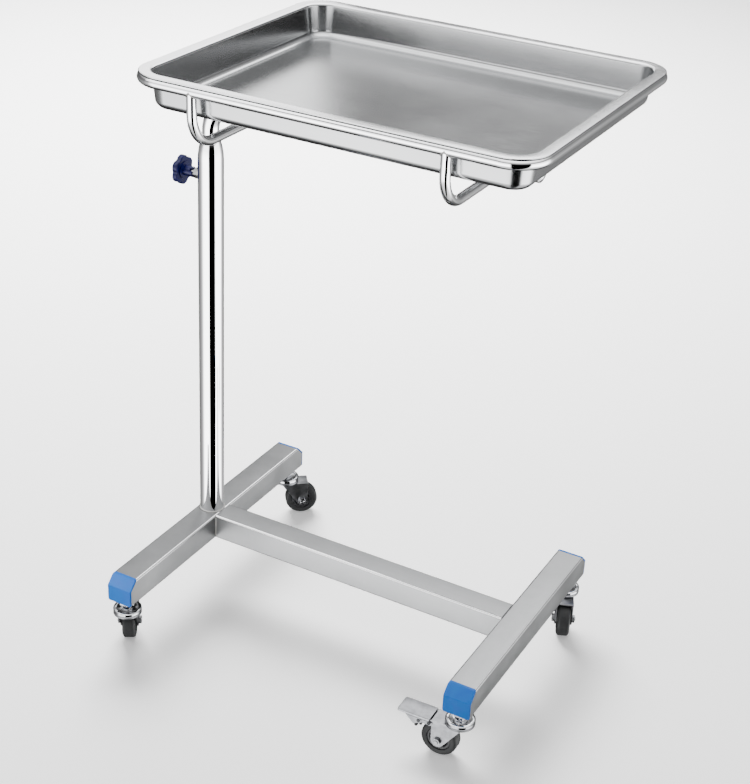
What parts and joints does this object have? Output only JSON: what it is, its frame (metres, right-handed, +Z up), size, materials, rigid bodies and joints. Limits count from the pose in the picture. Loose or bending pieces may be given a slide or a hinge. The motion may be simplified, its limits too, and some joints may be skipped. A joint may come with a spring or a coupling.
{
  "type": "medical tray trolley",
  "caption": "Height-adjustable instrument tray trolley: H base on swivel casters, clamped telescopic column, cantilever arm and ring cradle with a lift-off stainless tray.",
  "frame": {"origin": "on the floor, under the centre of the trolley's box", "axes": "+Z up, +X from the column side to the free side, -Y the front that the picture shows nearer"},
  "size_m": [0.5884, 0.4674, 0.824],
  "materials": {
    "base_tube": "polished stainless square tube",
    "end_caps": "moulded light blue plastic",
    "polished_tube": "polished stainless round tube",
    "cradle_rod": "polished stainless rod",
    "tray_sheet": "bright deep drawn stainless sheet",
    "guide_plastic": "grey engineering plastic",
    "knob_plastic": "dark navy moulded plastic",
    "hardware_zinc": "bright zinc plated steel",
    "wheel_tread": "grey rubber",
    "wheel_hub": "grey moulded plastic",
    "brake_shoe": "black rubber",
    "caster_zinc": "zinc plated pressed steel",
    "bearing_steel": "polished ball steel"
  },
  "bodies": {
    "frame": {"caster_column_front_stem": "caster_zinc", "caster_column_front_upper_race": "caster_zinc", "caster_column_rear_stem": "caster_zinc", "caster_column_rear_upper_race": "caster_zinc", "caster_free_front_stem": "caster_zinc", "caster_free_front_upper_race": "caster_zinc", "caster_free_rear_stem": "caster_zinc", "caster_free_rear_upper_race": "caster_zinc", "column_leg": "base_tube", "free_leg": "base_tube", "cross_beam": "base_tube", "cap_column_leg_front": "end_caps", "cap_column_leg_rear": "end_caps", "cap_free_leg_front": "end_caps", "cap_free_leg_rear": "end_caps", "column_tube": "polished_tube", "column_guide_bush": "guide_plastic", "clamp_weld_nut": "hardware_zinc", "stem_nuts": "hardware_zinc"},
    "lift": {"lift_post": "polished_tube", "post_guide": "guide_plastic", "arm_end_plug": "polished_tube", "tray_ring": "cradle_rod", "cradle_bar_column_side": "cradle_rod", "cradle_bar_free_side": "cradle_rod"},
    "tray": {"tray_pan": "tray_sheet"},
    "clamp_pad": {"clamp_pad": "guide_plastic"},
    "clamp_knob": {"clamp_knob": "knob_plastic", "clamp_screw": "hardware_zinc"},
    "swivel_column_front": {"caster_column_front_fork": "caster_zinc", "caster_column_front_balls": "bearing_steel", "caster_column_front_axle": "hardware_zinc", "caster_column_front_axle_nut": "hardware_zinc", "caster_column_front_sleeve": "hardware_zinc"},
    "wheel_column_front": {"caster_column_front_tyre": "wheel_tread", "caster_column_front_hub": "wheel_hub"},
    "swivel_column_rear": {"caster_column_rear_fork": "caster_zinc", "caster_column_rear_balls": "bearing_steel", "caster_column_rear_axle": "hardware_zinc", "caster_column_rear_axle_nut": "hardware_zinc", "caster_column_rear_sleeve": "hardware_zinc"},
    "wheel_column_rear": {"caster_column_rear_tyre": "wheel_tread", "caster_column_rear_hub": "wheel_hub"},
    "swivel_free_front": {"caster_free_front_fork": "caster_zinc", "caster_free_front_balls": "bearing_steel", "caster_free_front_axle": "hardware_zinc", "caster_free_front_axle_nut": "hardware_zinc", "caster_free_front_sleeve": "hardware_zinc"},
    "wheel_free_front": {"caster_free_front_tyre": "wheel_tread", "caster_free_front_hub": "wheel_hub"},
    "swivel_free_rear": {"caster_free_rear_fork": "caster_zinc", "caster_free_rear_balls": "bearing_steel", "caster_free_rear_axle": "hardware_zinc", "caster_free_rear_axle_nut": "hardware_zinc", "caster_free_rear_sleeve": "hardware_zinc"},
    "wheel_free_rear": {"caster_free_rear_tyre": "wheel_tread", "caster_free_rear_hub": "wheel_hub"},
    "brake": {"caster_free_front_brake_pedal": "caster_zinc", "caster_free_front_brake_shoe": "brake_shoe", "caster_free_front_brake_pins": "hardware_zinc"}
  },
  "joints": [
    {"name": "lift_slide", "type": "slide", "parent": "frame", "child": "lift", "axis": [0, 0, 1], "range_m": [0, 0.35]},
    {"name": "tray_lift_off", "type": "slide", "parent": "lift", "child": "tray", "axis": [0, 0, 1], "range_m": [0, 0.12]},
    {"name": "clamp_pad_slide", "type": "slide", "parent": "frame", "child": "clamp_pad", "axis": [-1, 0, 0], "range_m": [0, 0.0019]},
    {"name": "clamp_knob_turn", "type": "hinge", "parent": "clamp_pad", "child": "clamp_knob", "pos_m": [-0.28992, -0.00823, 0.6275], "axis": [-1, 0, 0], "range_deg": [0, 540]},
    {"name": "swivel_column_front", "type": "hinge", "parent": "frame", "child": "swivel_column_front", "pos_m": [-0.24493, -0.21423, 0.0605], "axis": [0, 0, 1], "continuous": true},
    {"name": "roll_column_front", "type": "hinge", "parent": "swivel_column_front", "child": "wheel_column_front", "pos_m": [-0.25754, -0.19323, 0.025], "axis": [0.8572, 0.515, 0], "continuous": true},
    {"name": "swivel_column_rear", "type": "hinge", "parent": "frame", "child": "swivel_column_rear", "pos_m": [-0.24493, 0.19777, 0.0605], "axis": [0, 0, 1], "continuous": true},
    {"name": "roll_column_rear", "type": "hinge", "parent": "swivel_column_rear", "child": "wheel_column_rear", "pos_m": [-0.22562, 0.21286, 0.025], "axis": [0.6157, -0.788, 0], "continuous": true},
    {"name": "swivel_free_front", "type": "hinge", "parent": "frame", "child": "swivel_free_front", "pos_m": [0.24807, -0.17823, 0.0605], "axis": [0, 0, 1], "continuous": true},
    {"name": "roll_free_front", "type": "hinge", "parent": "swivel_free_front", "child": "wheel_free_front", "pos_m": [0.22359, -0.17908, 0.025], "axis": [-0.0349, 0.9994, 0], "continuous": true},
    {"name": "swivel_free_rear", "type": "hinge", "parent": "frame", "child": "swivel_free_rear", "pos_m": [0.24807, 0.16177, 0.0605], "axis": [0, 0, 1], "continuous": true},
    {"name": "roll_free_rear", "type": "hinge", "parent": "swivel_free_rear", "child": "wheel_free_rear", "pos_m": [0.25804, 0.13939, 0.025], "axis": [-0.9135, -0.4067, 0], "continuous": true},
    {"name": "brake_press", "type": "hinge", "parent": "swivel_free_front", "child": "brake", "pos_m": [0.2111, -0.17952, 0.05], "axis": [0.0349, -0.9994, 0], "range_deg": [0, 9]}
  ],
  "couplings": [
    {"joint": "clamp_pad_slide", "follows": "clamp_knob_turn", "m_per_rad": 0.00019894}
  ]
}
